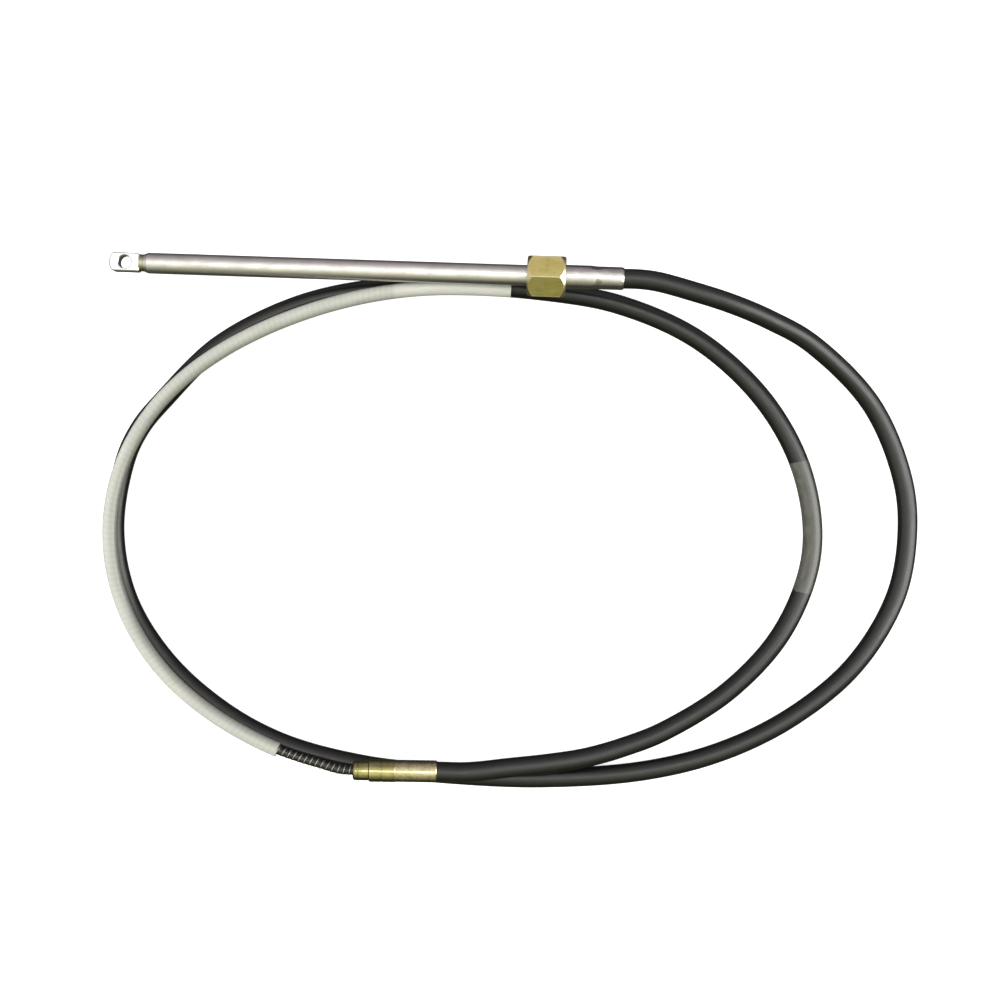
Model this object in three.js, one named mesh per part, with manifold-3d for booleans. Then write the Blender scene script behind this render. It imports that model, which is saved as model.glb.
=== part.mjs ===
// A boat steering cable with its sliding ram, coupling nut, outer casing and drive core.
// Millimetres, +Z up. The cable lies loosely coiled on a level floor at z = 0.
// The origin is on the floor, under the middle of the whole cable.

import * as THREE from 'three';
import { mergeVertices } from 'three/addons/utils/BufferGeometryUtils.js';
import Module from 'manifold-3d';

const wasm = await Module();
wasm.setup();

// Clearance between pieces that touch, and the number of facets round a turned piece.
const gap = 0.3;
const facets = 60;

// Where the two rigid ends lie on the coil. The ram's place is the nut's front face.
const ramPlace = { x: 12, y: 186.6, z: 35.8, heading: -2.3, rise: 2.9 };
const helmPlace = { x: -57, y: -190.7, heading: 179.1 };

// Casing, and the drive core with its shipping sleeve.
const casing = { diameter: 15, sides: 10, steps: 78 };
const core = { diameter: 7.8, sides: 10, steps: 48, bareLength: 60, shortOfSleeve: 89 };
const sleeve = { clearance: 0.6, wall: 1.1, sides: 12, steps: 46 };

// Sliding ram: a swaged tube over a fixed guide tube, pushed by a rod down the middle.
const ram = { diameter: 15.9, wall: 1.3, reach: 308, swageLength: 2.7, swageDepth: 1, rearChamfer: 0.8 };
const guide = { wall: 1.85, chamfer: 0.5, setBack: 10 };
const pushRod = { clearance: 1.3, chamfer: 0.6 };

// Flat eye on the ram's front end, bolted to the tiller or link arm.
const eye = {
  width: 14.1, thickness: 9.5, edge: 0.8, noseRadius: 10.1, noseReach: 12.3, hole: 10.2,
  backReach: 10.7, backBulge: 1, neckStep: 0.1, neckLength: 3.1, spigotLength: 23,
};

// Stainless ferrule behind the nut, swaged on the end of the casing.
const ferrule = {
  swagedWall: 0.8, plainRise: 0.45, flangeRise: 1.25, flangeLength: 3, plainLength: 26, taperLength: 5,
  length: 53.9, chamfer: 1.5, chamferDepth: 0.6, socket: 10, web: 2.6,
};

// Captive coupling nut: across flats, end chamfers, thread clearance, the rear lip, and how far it is turned.
const nut = {
  flats: 30.2, length: 29.2, faceStep: 0.8, chamferLength: 4.2, threadClearance: 0.45, lip: 6.9, turn: 10,
};

// Brass fitting at the helm end, from the casing to its nose.
const helm = {
  swagedWall: 0.6, swagedLength: 32, bodyRise: 0.2, bodyLength: 20, noseDrop: 1, noseLength: 12,
  chamfer: 0.8, noseChamfer: 1.6, noseChamferDepth: 0.8, grooveWidth: 0.8, grooveDepth: 0.4,
  grooveBack: 9.9, ringBack: 4.6, casingSocket: 8, coreSocket: 6,
};

// Radii that follow from what fits in what.
const ramRadius = ram.diameter / 2;
const ramBore = ramRadius - ram.wall;
const guideRadius = ramBore - gap;
const guideBore = guideRadius - guide.wall;
const pushRodRadius = guideBore - pushRod.clearance;
const neckRadius = ramBore - eye.neckStep;
const casingRadius = casing.diameter / 2;
const casingSocketRadius = casingRadius + gap;
const ferruleSwagedRadius = casingSocketRadius + ferrule.swagedWall;
const ferruleRadius = ferruleSwagedRadius + ferrule.plainRise;
const flangeRadius = ferruleRadius + ferrule.flangeRise;
const threadRadius = flangeRadius + nut.threadClearance;
const helmSwagedRadius = casingSocketRadius + helm.swagedWall;
const helmRadius = helmSwagedRadius + helm.bodyRise;
const noseRadius = helmRadius - helm.noseDrop;
const coreRadius = core.diameter / 2;
const coreSocketRadius = coreRadius + 2 * gap;
const sleeveBore = coreRadius + sleeve.clearance;
const sleeveRadius = sleeveBore + sleeve.wall;

// The casing leaves the ferrule straight for this far, and meets the helm fitting over twice as far.
const lead = 12;

// The casing's route from the ferrule to the helm fitting, as the cable lies.
const casingRoute = [
  [110, 181.3, 40.7], [137, 174, 40.3], [166, 165.2, 37.4], [197, 153.3, 31], [230, 136.3, 22.5],
  [279, 90, 9.8], [303, 34, 7.7], [307, -8, 7.6], [298, -58, 7.6], [266, -111, 7.6],
  [218, -151, 7.6], [163, -178, 7.6], [103, -193, 7.6], [23, -198.5, 7.6], [-55, -195, 7.6],
  [-117, -188, 7.6], [-179, -171, 7.6], [-226, -145, 7.6], [-268, -107, 7.6], [-297, -60, 7.6],
  [-307.5, -7, 7.6], [-299, 48, 7.6], [-287, 73.4, 7.6], [-269, 95, 7.6], [-226, 137, 7.6], [-164, 168, 7.6],
  [-102, 181, 7.6], [-40, 183, 7.6], [22, 179, 7.6], [84, 168, 7.6], [146, 140, 7.6],
  [198, 91, 7.6], [226.6, 35.2, 7.6], [232.7, -25, 7.6], [211.4, -83.3, 7.6], [171, -129, 7.6],
  [119, -162, 8], [88, -174, 9.5], [58, -182, 12.5], [28, -186, 16.5], [-1, -188.5, 20],
];

// The drive core's route from the helm fitting; the sleeve follows its later part.
const coreRoute = [
  [-131.5, -189.1, 23.2], [-147, -184.9, 21.9], [-162, -180.6, 21.2], [-183.6, -172.8, 20.8],
  [-212.7, -157.9, 20.8], [-239.7, -139.7, 20.7], [-263.7, -117.8, 20.8], [-283.5, -91.9, 20.9],
  [-298, -62.5, 21.1], [-306.2, -30.6, 21.2], [-307.4, 2.2, 21.2], [-301.6, 34.2, 21.2],
  [-289, 64.1, 21], [-270.5, 90.6, 21.1], [-247.2, 113.3, 20.9], [-220.3, 132.2, 20.2],
  [-191.2, 147.5, 19.8], [-160.8, 159.7, 19.8], [-129.7, 169, 20.3], [-98.1, 175.3, 21.4],
  [-65.7, 178.6, 22.5], [-32.7, 178.8, 23], [-0.3, 177.4, 22.8],
];

const radians = THREE.MathUtils.degToRad;

function finish(color, roughness, metalness) {
  return new THREE.MeshStandardMaterial({ color, roughness, metalness });
}

const stainless = finish(0xb9b6ad, 0.3, 1);
const brass = finish(0xb3a24a, 0.35, 1);
const helmBrass = finish(0xa39a52, 0.38, 1);
const blackPlastic = finish(0x24251f, 0.5, 0);
const oiledSteel = finish(0x3a3b38, 0.35, 1);
const clearPlastic = finish(0xd4d8cf, 0.3, 0);

// A closed mesh as a solid that can be joined and cut.
function toSolid(geometry) {
  const bare = geometry.clone();
  bare.deleteAttribute('normal');
  bare.deleteAttribute('uv');
  const merged = mergeVertices(bare, 1e-4);
  const vertProperties = Float32Array.from(merged.attributes.position.array);
  const triVerts = Uint32Array.from(merged.index.array);
  return new wasm.Manifold(new wasm.Mesh({ numProp: 3, vertProperties, triVerts }));
}

function toGeometry(solid) {
  const mesh = solid.getMesh();
  const geometry = new THREE.BufferGeometry();
  geometry.setAttribute('position', new THREE.BufferAttribute(mesh.vertProperties, 3));
  geometry.setIndex(new THREE.BufferAttribute(mesh.triVerts, 1));
  geometry.computeVertexNormals();
  return geometry;
}

// A piece turned about the X axis. Its profile is a list of [place along the axis, radius].
function turned(profile) {
  const points = profile.map(([along, radius]) => new THREE.Vector2(radius, along));
  return new THREE.LatheGeometry(points, facets).rotateZ(-Math.PI / 2);
}

function turnedTube(profile) {
  return turned([...profile, profile[0]]);
}

// Corners of a regular outline round the origin.
function ring(radius, sides) {
  const angles = Array.from({ length: sides }, (_, i) => i * 2 * Math.PI / sides);
  return angles.map((angle) => new THREE.Vector2(radius * Math.cos(angle), radius * Math.sin(angle)));
}

function roundSection(radius, sides) {
  return new THREE.Shape(ring(radius, sides));
}

function hollowSection(radius, bore, sides) {
  const section = roundSection(radius, sides);
  section.holes.push(new THREE.Path(ring(bore, sides).reverse()));
  return section;
}

function place(name, geometry, material, group) {
  const mesh = new THREE.Mesh(geometry, material);
  mesh.name = name;
  group.add(mesh);
  return mesh;
}

// A group whose X axis points along a heading and rises at an angle, both in degrees.
function endGroup({ x, y, z, heading, rise }) {
  const outer = new THREE.Group();
  outer.position.set(x, y, z);
  outer.rotation.z = radians(heading);
  const inner = new THREE.Group();
  inner.rotation.y = -radians(rise);
  outer.add(inner);
  outer.updateMatrixWorld(true);
  return { outer, inner };
}

const cable = new THREE.Group();

// The ram's end: x = 0 is the nut's front face, and the eye lies at negative x.
const ramEnd = endGroup(ramPlace);
cable.add(ramEnd.outer);

const lipFront = nut.length - nut.lip;
const flangeBack = lipFront - gap;
const flangeFront = flangeBack - ferrule.flangeLength;
const ferruleEnd = flangeFront + ferrule.length;
const guideEnd = ferruleEnd - ferrule.socket - ferrule.web - gap;
const holeAt = -ram.reach;
const neckFront = holeAt + eye.backReach + eye.backBulge;
const tubeFront = neckFront + eye.neckLength;
const spigotEnd = tubeFront + eye.spigotLength;
const tubeRear = flangeFront - gap;
const guideFront = spigotEnd + guide.setBack;

function ramTubeGeometry() {
  return turnedTube([
    [tubeFront, ramRadius - ram.swageDepth],
    [tubeFront + ram.swageLength, ramRadius],
    [tubeRear - ram.rearChamfer, ramRadius],
    [tubeRear, ramRadius - ram.rearChamfer],
    [tubeRear, ramBore],
    [tubeFront, ramBore],
  ]);
}

// Outline of the flat tab seen from above, with its round nose and milled back edge.
function tabOutline() {
  const half = eye.width / 2;
  const noseCentre = holeAt - eye.noseReach + eye.noseRadius;
  const noseAngle = Math.asin(half / eye.noseRadius);
  const backX = holeAt + eye.backReach;
  const outline = new THREE.Shape();
  outline.absarc(noseCentre, 0, eye.noseRadius, Math.PI - noseAngle, Math.PI + noseAngle, false);
  outline.lineTo(backX, -half);
  outline.quadraticCurveTo(backX + 2 * eye.backBulge, 0, backX, half);
  outline.closePath();
  return outline;
}

function ramEyeGeometry() {
  const outline = tabOutline();
  const bevelled = {
    depth: eye.thickness - 2 * eye.edge, curveSegments: 16, bevelEnabled: true, bevelSegments: 2,
    bevelThickness: eye.edge, bevelSize: eye.edge, bevelOffset: -eye.edge,
  };
  const tab = new THREE.ExtrudeGeometry(outline, bevelled).translate(0, 0, eye.edge - eye.thickness / 2);
  const spigot = ramBore - gap;
  const neck = turned([
    [holeAt + eye.hole / 2 + eye.edge, 0],
    [holeAt + eye.hole / 2 + eye.edge, neckRadius],
    [tubeFront - gap, neckRadius],
    [tubeFront - gap, spigot],
    [spigotEnd, spigot],
    [spigotEnd, 0],
  ]);
  const cutDepth = 2 * neckRadius;
  const cut = { depth: cutDepth, curveSegments: 16, bevelEnabled: false };
  const lift = eye.thickness / 2 - eye.edge;
  const above = new THREE.ExtrudeGeometry(outline, cut).translate(0, 0, lift);
  const below = new THREE.ExtrudeGeometry(outline, cut).translate(0, 0, -lift - cutDepth);
  const hole = new THREE.CylinderGeometry(eye.hole / 2, eye.hole / 2, 2 * eye.thickness, facets / 2)
    .rotateX(Math.PI / 2).translate(holeAt, 0, 0);
  const milledNeck = toSolid(neck).subtract(toSolid(above)).subtract(toSolid(below));
  return toGeometry(toSolid(tab).add(milledNeck).subtract(toSolid(hole)));
}

function guideTubeGeometry() {
  return turnedTube([
    [guideEnd, guideBore],
    [guideFront, guideBore],
    [guideFront, guideRadius - guide.chamfer],
    [guideFront + guide.chamfer, guideRadius],
    [guideEnd, guideRadius],
  ]);
}

function pushRodGeometry() {
  const front = spigotEnd + gap;
  const rear = guideEnd - 2 * gap;
  return turned([
    [front, 0],
    [front, pushRodRadius],
    [rear - pushRod.chamfer, pushRodRadius],
    [rear, pushRodRadius - pushRod.chamfer],
    [rear, 0],
  ]);
}

function ferruleGeometry() {
  const guideSeat = guideRadius + gap;
  const taperFront = flangeBack + ferrule.plainLength;
  const taperBack = taperFront + ferrule.taperLength;
  const socketFloor = ferruleEnd - ferrule.socket;
  return turned([
    [guideEnd + gap, 0],
    [guideEnd + gap, guideSeat],
    [flangeFront, guideSeat],
    [flangeFront, flangeRadius],
    [flangeBack, flangeRadius],
    [flangeBack, ferruleRadius],
    [taperFront, ferruleRadius],
    [taperBack, ferruleSwagedRadius],
    [ferruleEnd - ferrule.chamfer, ferruleSwagedRadius],
    [ferruleEnd, ferruleSwagedRadius - ferrule.chamferDepth],
    [ferruleEnd, casingSocketRadius],
    [socketFloor, casingSocketRadius],
    [socketFloor, 0],
  ]);
}

// Hexagon bar with both ends chamfered, bored for the thread and the rear lip.
function nutGeometry() {
  const corner = nut.flats / 2 / Math.cos(Math.PI / 6);
  const hexagon = new THREE.Shape(ring(corner, 6));
  const bar = new THREE.ExtrudeGeometry(hexagon, { depth: nut.length, bevelEnabled: false })
    .rotateY(Math.PI / 2)
    .rotateX(radians(nut.turn));
  const face = nut.flats / 2 - nut.faceStep;
  const margin = 1;
  const outer = corner + margin;
  const chamferRun = nut.chamferLength * (outer - face) / (corner - face);
  const rounding = turned([
    [0, 0],
    [0, face],
    [chamferRun, outer],
    [nut.length - chamferRun, outer],
    [nut.length, face],
    [nut.length, 0],
  ]);
  const lipBore = ferruleRadius + gap;
  const bore = turned([
    [-margin, 0],
    [-margin, threadRadius],
    [lipFront, threadRadius],
    [lipFront, lipBore],
    [nut.length + margin, lipBore],
    [nut.length + margin, 0],
  ]);
  return toGeometry(toSolid(bar).intersect(toSolid(rounding)).subtract(toSolid(bore)));
}

place('ram_tube', ramTubeGeometry(), stainless, ramEnd.inner);
place('ram_eye', ramEyeGeometry(), stainless, ramEnd.inner);
place('push_rod', pushRodGeometry(), stainless, ramEnd.inner);
place('guide_tube', guideTubeGeometry(), stainless, ramEnd.inner);
place('output_ferrule', ferruleGeometry(), stainless, ramEnd.inner);
place('coupling_nut', nutGeometry(), brass, ramEnd.inner);

// The helm end lies on the casing: x = 0 is the casing's side and x grows to the nose.
const helmHeight = casing.diameter + helmRadius + 2 * gap;
const helmEnd = endGroup({ ...helmPlace, z: helmHeight, rise: 0 });
cable.add(helmEnd.outer);

const stepAt = helm.swagedLength + helm.bodyLength;
const noseEnd = stepAt + helm.noseLength;

// Two corners of a groove's near side, then two of its far side.
function groove(from, radius) {
  const floor = radius - helm.grooveDepth;
  return [[from, radius], [from, floor], [from + helm.grooveWidth, floor], [from + helm.grooveWidth, radius]];
}

function helmFittingGeometry() {
  return turned([
    [helm.casingSocket, 0],
    [helm.casingSocket, casingSocketRadius],
    [0, casingSocketRadius],
    [0, helmSwagedRadius - helm.bodyRise],
    [helm.bodyRise, helmSwagedRadius],
    [helm.swagedLength, helmSwagedRadius],
    [helm.swagedLength + helm.bodyRise, helmRadius],
    ...groove(helm.swagedLength + helm.grooveBack, helmRadius),
    [stepAt - helm.chamfer, helmRadius],
    [stepAt, noseRadius],
    ...groove(noseEnd - helm.ringBack, noseRadius),
    [noseEnd - helm.noseChamfer, noseRadius],
    [noseEnd, noseRadius - helm.noseChamferDepth],
    [noseEnd, coreSocketRadius],
    [noseEnd - helm.coreSocket, coreSocketRadius],
    [noseEnd - helm.coreSocket, 0],
  ]);
}

place('helm_fitting', helmFittingGeometry(), helmBrass, helmEnd.inner);

// A point on an end's axis, in the cable's frame.
function onAxis(end, along) {
  return end.inner.localToWorld(new THREE.Vector3(along, 0, 0));
}

function smoothRoute(points) {
  const route = new THREE.CatmullRomCurve3(points);
  route.arcLengthDivisions = 1200;
  return route;
}

// Part of a route between two distances along it.
class Stretch extends THREE.Curve {
  constructor(route, from, to) {
    super();
    this.route = route;
    this.from = from / route.getLength();
    this.to = to / route.getLength();
  }

  getPoint(t, target = new THREE.Vector3()) {
    return this.route.getPointAt(THREE.MathUtils.lerp(this.from, this.to, t), target);
  }
}

function along(path, section, steps) {
  return new THREE.ExtrudeGeometry(section, { extrudePath: path, steps, bevelEnabled: false });
}

const vectors = (points) => points.map((point) => new THREE.Vector3(...point));

const casingPath = smoothRoute([
  onAxis(ramEnd, ferruleEnd - ferrule.socket + gap),
  onAxis(ramEnd, ferruleEnd),
  onAxis(ramEnd, ferruleEnd + lead),
  ...vectors(casingRoute),
  onAxis(helmEnd, -2 * lead),
  onAxis(helmEnd, 0),
  onAxis(helmEnd, helm.casingSocket - gap),
]);
const casingSection = roundSection(casingRadius, casing.sides);
place('casing', along(casingPath, casingSection, casing.steps), blackPlastic, cable);

const corePath = smoothRoute([
  onAxis(helmEnd, noseEnd - helm.coreSocket + gap),
  onAxis(helmEnd, noseEnd),
  ...vectors(coreRoute),
]);
const coreStretch = new Stretch(corePath, 0, corePath.getLength() - core.shortOfSleeve);
const sleeveStretch = new Stretch(corePath, helm.coreSocket + core.bareLength, corePath.getLength());
const coreSection = roundSection(coreRadius, core.sides);
const sleeveSection = hollowSection(sleeveRadius, sleeveBore, sleeve.sides);
place('drive_core', along(coreStretch, coreSection, core.steps), oiledSteel, cable);
place('core_sleeve', along(sleeveStretch, sleeveSection, sleeve.steps), clearPlastic, cable);

export default cable;
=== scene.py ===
import math

import bmesh
import bpy
from mathutils import Matrix, Vector, noise


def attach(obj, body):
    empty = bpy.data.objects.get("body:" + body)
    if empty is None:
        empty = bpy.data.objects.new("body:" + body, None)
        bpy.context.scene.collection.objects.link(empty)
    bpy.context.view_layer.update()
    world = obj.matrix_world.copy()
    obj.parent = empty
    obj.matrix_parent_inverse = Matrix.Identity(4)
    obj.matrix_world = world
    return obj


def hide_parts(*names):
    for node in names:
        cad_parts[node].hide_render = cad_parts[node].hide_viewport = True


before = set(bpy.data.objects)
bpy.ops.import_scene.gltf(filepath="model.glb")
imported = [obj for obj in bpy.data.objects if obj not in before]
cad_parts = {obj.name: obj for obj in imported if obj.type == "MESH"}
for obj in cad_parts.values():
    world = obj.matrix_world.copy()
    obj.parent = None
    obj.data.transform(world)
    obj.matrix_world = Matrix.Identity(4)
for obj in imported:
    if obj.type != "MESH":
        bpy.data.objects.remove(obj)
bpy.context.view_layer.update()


# Camera. It hangs 1.2 m above the floor and looks straight down, with the ram along the top of the picture.
# At the floor the picture is 0.78 m wide.
camera_height = 1.2
width_in_view = 0.78
camera_data = bpy.data.cameras.new("overhead_camera")
camera_data.sensor_width = 36
camera_data.lens = camera_data.sensor_width * camera_height / width_in_view
camera = bpy.data.objects.new("overhead_camera", camera_data)
camera.location = (-0.0087, 0.01675, camera_height)
bpy.context.collection.objects.link(camera)
bpy.context.scene.camera = camera


# Casing. A black plastic jacket, 15 mm across, extruded over wound steel wires and a plastic liner.
# It is one unbroken length in loose loops on the floor, with its ends swaged into the two end fittings.
casing_radius = 0.0075
casing_in_ferrule = 0.0097
casing_in_helm_fitting = 0.0077
ferrule_end = 0.0729
lead = 0.012


def end_place(x, y, z, heading, rise):
    """Where a rigid end lies: its own X axis points along the heading and climbs by the rise."""
    turn = Matrix.Rotation(math.radians(heading), 4, "Z") @ Matrix.Rotation(-math.radians(rise), 4, "Y")
    return Matrix.Translation((x, y, z)) @ turn


ram_place = end_place(0.012, 0.1866, 0.0358, heading=-2.3, rise=2.9)
helm_place = end_place(-0.057, -0.1907, 0.0242, heading=179.1, rise=0)

casing_points = [
    ram_place @ Vector((ferrule_end - casing_in_ferrule, 0, 0)),
    ram_place @ Vector((ferrule_end, 0, 0)),
    ram_place @ Vector((ferrule_end + lead, 0, 0)),
    (0.110, 0.1813, 0.0407), (0.137, 0.174, 0.0403), (0.166, 0.1652, 0.0374), (0.197, 0.1533, 0.031),
    (0.230, 0.1363, 0.0225), (0.279, 0.090, 0.0098), (0.303, 0.034, 0.0077), (0.307, -0.008, 0.0076),
    (0.298, -0.058, 0.0076), (0.266, -0.111, 0.0076), (0.218, -0.151, 0.0076), (0.163, -0.178, 0.0076),
    (0.103, -0.193, 0.0076), (0.023, -0.1985, 0.0076), (-0.055, -0.195, 0.0076), (-0.117, -0.188, 0.0076),
    (-0.179, -0.171, 0.0076), (-0.226, -0.145, 0.0076), (-0.268, -0.107, 0.0076), (-0.297, -0.060, 0.0076),
    (-0.3075, -0.007, 0.0076), (-0.299, 0.048, 0.0076), (-0.287, 0.0734, 0.0076), (-0.269, 0.095, 0.0076),
    (-0.226, 0.137, 0.0076), (-0.164, 0.168, 0.0076), (-0.102, 0.181, 0.0076), (-0.040, 0.183, 0.0076),
    (0.022, 0.179, 0.0076), (0.084, 0.168, 0.0076), (0.146, 0.140, 0.0076), (0.198, 0.091, 0.0076),
    (0.2266, 0.0352, 0.0076), (0.2327, -0.025, 0.0076), (0.2114, -0.0833, 0.0076), (0.171, -0.129, 0.0076),
    (0.119, -0.162, 0.008), (0.088, -0.174, 0.0095), (0.058, -0.182, 0.0125), (0.028, -0.186, 0.0165),
    (-0.001, -0.1885, 0.020),
    helm_place @ Vector((-2 * lead, 0, 0)),
    helm_place @ Vector((0, 0, 0)),
    helm_place @ Vector((casing_in_helm_fitting, 0, 0)),
]


curve_step = 0.0005


def smooth_curve(points):
    """Closely spaced points on one smooth curve through the given points."""
    points = [Vector(point) for point in points]
    points = [2 * points[0] - points[1], *points, 2 * points[-1] - points[-2]]
    curve = []
    for before, start, end, after in zip(points, points[1:], points[2:], points[3:]):
        neighbours = ((before, start), (start, end), (end, after))
        first, middle, last = (math.sqrt((b - a).length) for a, b in neighbours)
        leaving = (start - before) / first - (end - before) / (first + middle) + (end - start) / middle
        arriving = (end - start) / middle - (after - start) / (middle + last) + (after - end) / last
        leaving, arriving = leaving * middle, arriving * middle
        steps = max(2, math.ceil((end - start).length / curve_step))
        for i in range(steps):
            t = i / steps
            curve.append(
                start + t * leaving
                + t * t * (3 * (end - start) - 2 * leaving - arriving)
                + t * t * t * (2 * (start - end) + leaving + arriving)
            )
    curve.append(points[-2])
    return curve


def spaced(curve, spacing, start=0.0, short_of_end=0.0):
    """Evenly spaced points on part of a curve, and the length of that part."""
    travelled = [0.0]
    for a, b in zip(curve, curve[1:]):
        travelled.append(travelled[-1] + (b - a).length)
    length = travelled[-1] - short_of_end - start
    count = round(length / spacing)
    route = []
    at = 0
    for i in range(count + 1):
        wanted = start + length * i / count
        while at < len(curve) - 2 and travelled[at + 1] < wanted:
            at += 1
        part = (wanted - travelled[at]) / (travelled[at + 1] - travelled[at])
        route.append(curve[at].lerp(curve[at + 1], part))
    return route, length


def frames_along(route):
    """At each point of a route: the point, the way ahead, and the two directions across it."""
    for i, point in enumerate(route):
        ahead = (route[min(i + 1, len(route) - 1)] - route[max(i - 1, 0)]).normalized()
        side = Vector((0, 0, 1)).cross(ahead).normalized()
        yield point, ahead, side, ahead.cross(side)


def rings_along(route, spacing, sides, radius_at):
    """Rings round a route, each with its shape as it would be if the piece were laid out straight."""
    rings, straight = [], []
    for i, (point, ahead, side, up) in enumerate(frames_along(route)):
        ring, straight_ring = [], []
        for j in range(sides):
            angle = 2 * math.pi * j / sides
            radius = radius_at(i * spacing, angle)
            across, above = radius * math.cos(angle), radius * math.sin(angle)
            ring.append(point + side * across + up * above)
            straight_ring.append(Vector((i * spacing, across, above)))
        rings.append(ring)
        straight.append(straight_ring)
    return rings, straight


def skin(name, rings, straight=None, joined=False, place=None):
    """A mesh piece over a row of rings, with its ends closed, or with its last ring joined to its first."""
    sides = len(rings[0])
    faces = []
    pairs = list(zip(range(len(rings)), range(1, len(rings))))
    if joined:
        pairs.append((len(rings) - 1, 0))
    for near, far in pairs:
        for j in range(sides):
            k = (j + 1) % sides
            faces.append((near * sides + j, near * sides + k, far * sides + k, far * sides + j))
    if not joined:
        faces.append(tuple(reversed(range(sides))))
        faces.append(tuple((len(rings) - 1) * sides + j for j in range(sides)))
    mesh = bpy.data.meshes.new(name)
    mesh.from_pydata([point for ring in rings for point in ring], [], faces)
    shaped = bmesh.new()
    shaped.from_mesh(mesh)
    bmesh.ops.recalc_face_normals(shaped, faces=shaped.faces)
    shaped.to_mesh(mesh)
    shaped.free()
    if straight:
        laid = mesh.attributes.new("laid_straight", "FLOAT_VECTOR", "POINT")
        laid.data.foreach_set("vector", [x for ring in straight for point in ring for x in point])
    mesh.shade_smooth()
    mesh.set_sharp_from_angle(angle=math.radians(48))
    piece = bpy.data.objects.new(name, mesh)
    bpy.context.collection.objects.link(piece)
    if place:
        piece.matrix_world = place
    return piece


def start_finish(name):
    """A new material, with its node tree and its surface shader."""
    material = bpy.data.materials.new(name)
    material.use_nodes = True
    return material, material.node_tree, material.node_tree.nodes["Principled BSDF"]


def node(tree, kind, sockets=None, **settings):
    """A node with its settings made, and its sockets given a value or joined to another node's output."""
    made = tree.nodes.new("ShaderNode" + kind)
    for name, value in settings.items():
        setattr(made, name, value)
    for name, value in (sockets or {}).items():
        if isinstance(value, bpy.types.NodeSocket):
            tree.links.new(value, made.inputs[name])
        else:
            made.inputs[name].default_value = value
    return made


def laid_straight(tree):
    """Coordinates of a bent piece laid out straight: metres along it, then across and above it."""
    return node(tree, "Attribute", attribute_name="laid_straight").outputs["Vector"]


def own_place(tree):
    """Coordinates of a rigid piece: metres along its own axis, then across and above it."""
    return node(tree, "TexCoord").outputs["Object"]


def grain(tree, place, per_metre, detail=4.0, roughness=0.6, offset=(0, 0, 0)):
    """Noise of so many grains a metre along the piece, across it and above it."""
    spread = node(tree, "Mapping", {"Vector": place, "Location": offset, "Scale": per_metre})
    sockets = {"Vector": spread.outputs["Vector"], "Scale": 1.0, "Detail": detail, "Roughness": roughness}
    return node(tree, "TexNoise", sockets).outputs["Fac"]


def level(tree, value, low, high, to_low=0.0, to_high=1.0):
    """A value stretched from one range to another, and held at the ends."""
    sockets = {"Value": value, "From Min": low, "From Max": high, "To Min": to_low, "To Max": to_high}
    return node(tree, "MapRange", sockets).outputs["Result"]


def maths(tree, operation, *values):
    made = tree.nodes.new("ShaderNodeMath")
    made.operation = operation
    for socket, value in zip(made.inputs, values):
        if isinstance(value, bpy.types.NodeSocket):
            tree.links.new(value, socket)
        else:
            socket.default_value = value
    return made.outputs["Value"]


def between(tree, share, first, second):
    """A colour between two colours. Each may be a colour or another node's output."""
    made = tree.nodes.new("ShaderNodeMix")
    made.data_type = "RGBA"
    tree.links.new(share, made.inputs[0])
    for socket, colour in ((made.inputs[6], first), (made.inputs[7], second)):
        if isinstance(colour, bpy.types.NodeSocket):
            tree.links.new(colour, socket)
        else:
            socket.default_value = (*colour, 1)
    return made.outputs[2]


def relief(tree, height, depth, under=None):
    """A surface normal roughened by a height from 0 to 1, that many metres deep."""
    sockets = {"Height": height, "Strength": 1.0, "Distance": depth}
    if under:
        sockets["Normal"] = under
    return node(tree, "Bump", sockets).outputs["Normal"]


def black_jacket():
    """Extruded black plastic: a satin sheen, faint drag lines from the die, and a little dust."""
    material, tree, surface = start_finish("black_jacket")
    place = laid_straight(tree)
    drag = grain(tree, place, (12, 900, 900), detail=5)
    dust = grain(tree, place, (60, 260, 260), detail=6, roughness=0.7)
    uneven = grain(tree, place, (330, 480, 480), detail=3, offset=(5, 3, 8))
    speckle = grain(tree, place, (1500, 1500, 1500), detail=2)
    black = between(tree, level(tree, drag, 0.35, 0.65), (0.0030, 0.0032, 0.0026), (0.0058, 0.0062, 0.0048))
    dusty = between(tree, level(tree, dust, 0.6, 0.84, 0.0, 0.3), black, (0.030, 0.032, 0.026))
    tree.links.new(dusty, surface.inputs["Base Color"])
    tree.links.new(level(tree, dust, 0.3, 0.7, 0.28, 0.44), surface.inputs["Roughness"])
    surface.inputs["IOR"].default_value = 1.46
    lines = relief(tree, drag, 0.00002)
    wavy = relief(tree, uneven, 0.00006, lines)
    tree.links.new(relief(tree, speckle, 0.00001, wavy), surface.inputs["Normal"])
    return material


casing_spacing = 0.003
casing_curve = smooth_curve(casing_points)
casing_route, casing_length = spaced(casing_curve, casing_spacing)


def jacket_radius(along, angle):
    """The jacket is a little uneven over the wires under it."""
    wander = noise.noise(Vector((along * 40, 2 * math.cos(angle), 2 * math.sin(angle))))
    return casing_radius + 0.00004 * wander


casing_rings = rings_along(casing_route, casing_spacing, 36, jacket_radius)
casing = skin("casing_jacket", *casing_rings)
casing.data.materials.append(black_jacket())
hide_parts("casing")
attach(casing, "cable")


# Label film. A clear film with nothing on it, wrapped once round the casing on the inner right-hand loop.
# It is thin soft plastic that sticks to the jacket and lies over itself in one seam.
film_start = Vector((0.2161, 0.0439, 0.0076))
film_end = Vector((0.2238, -0.0546, 0.0076))
film_thickness = 0.00008
film_slant = 0.0012
film_slant_reach = 0.012
film_spacing = 0.001
film_sides = 40
film_sunk_in = 0.0001
lap_at = 1.35
lap_reach = 0.45


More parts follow.
